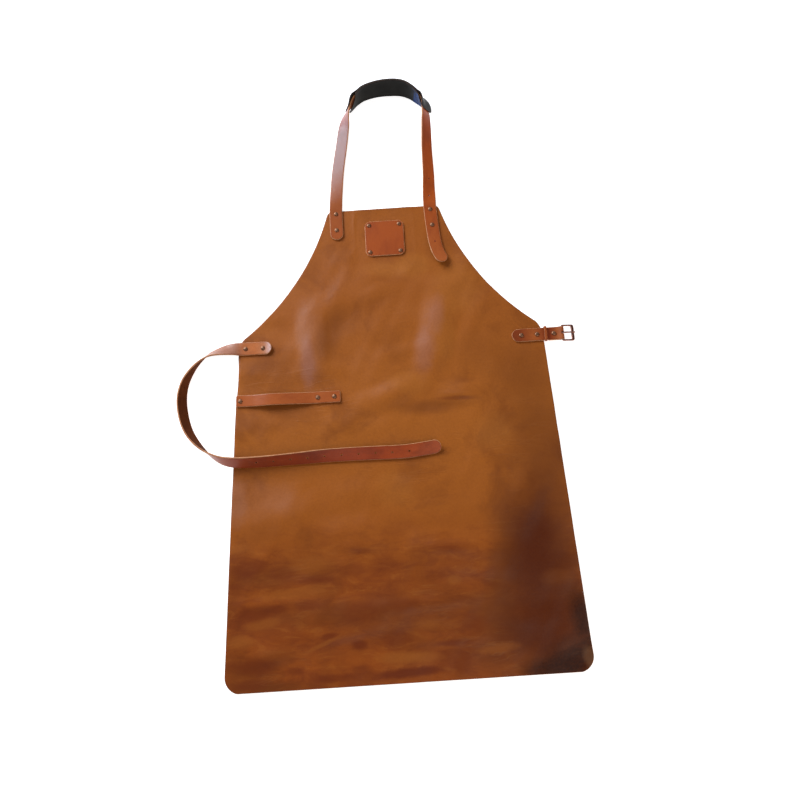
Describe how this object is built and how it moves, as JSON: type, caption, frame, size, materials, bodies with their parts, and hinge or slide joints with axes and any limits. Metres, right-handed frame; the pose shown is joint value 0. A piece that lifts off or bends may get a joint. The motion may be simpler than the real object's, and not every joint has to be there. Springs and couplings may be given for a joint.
{
  "type": "leather work apron",
  "caption": "Leather work apron lying flat: bib panel, riveted neck strap with a soft pad, looped waist strap, towel strap, plain label patch, and a tab with keeper and buckle.",
  "frame": {"origin": "on the panel's centre line at half its length, on its back face, where it lies on the surface", "axes": "+X to the right of the apron seen from the front, +Y towards the neck, +Z out of the front face"},
  "size_m": [0.71, 1.0984, 0.0409],
  "materials": {
    "panel_leather": "waxed full grain",
    "strap_leather": "smooth bridle",
    "patch_leather": "smooth bridle",
    "pad_leather": "smooth black",
    "rivet_metal": "antique",
    "buckle_metal": "antique"
  },
  "bodies": {
    "apron": {"apron_panel": "panel_leather", "neck_strap": "strap_leather", "waist_strap": "strap_leather", "towel_strap": "strap_leather", "buckle_tab": "strap_leather", "strap_keeper": "strap_leather", "label_patch": "patch_leather", "neck_pad": "pad_leather", "rivet_neck_left_upper": "rivet_metal", "rivet_neck_left_lower": "rivet_metal", "rivet_neck_right_upper": "rivet_metal", "rivet_neck_right_lower": "rivet_metal", "rivet_waist_inner": "rivet_metal", "rivet_waist_outer": "rivet_metal", "rivet_towel_edge": "rivet_metal", "rivet_towel_outer": "rivet_metal", "rivet_towel_inner": "rivet_metal", "rivet_tab_inner": "rivet_metal", "rivet_tab_middle": "rivet_metal", "rivet_tab_outer": "rivet_metal", "rivet_label_lower_left": "rivet_metal", "rivet_label_lower_right": "rivet_metal", "rivet_label_upper_left": "rivet_metal", "rivet_label_upper_right": "rivet_metal"},
    "buckle_frame": {"buckle_frame": "buckle_metal"},
    "buckle_prong": {"buckle_prong": "buckle_metal"}
  },
  "joints": [
    {"name": "frame_swing", "type": "hinge", "parent": "apron", "child": "buckle_frame", "pos_m": [0.309, 0.1548, 0.0039], "axis": [0, -1, 0], "range_deg": [0, 55]},
    {"name": "prong_swing", "type": "hinge", "parent": "buckle_frame", "child": "buckle_prong", "pos_m": [0.309, 0.1548, 0.0039], "axis": [0, -1, 0], "range_deg": [0, 45]}
  ]
}
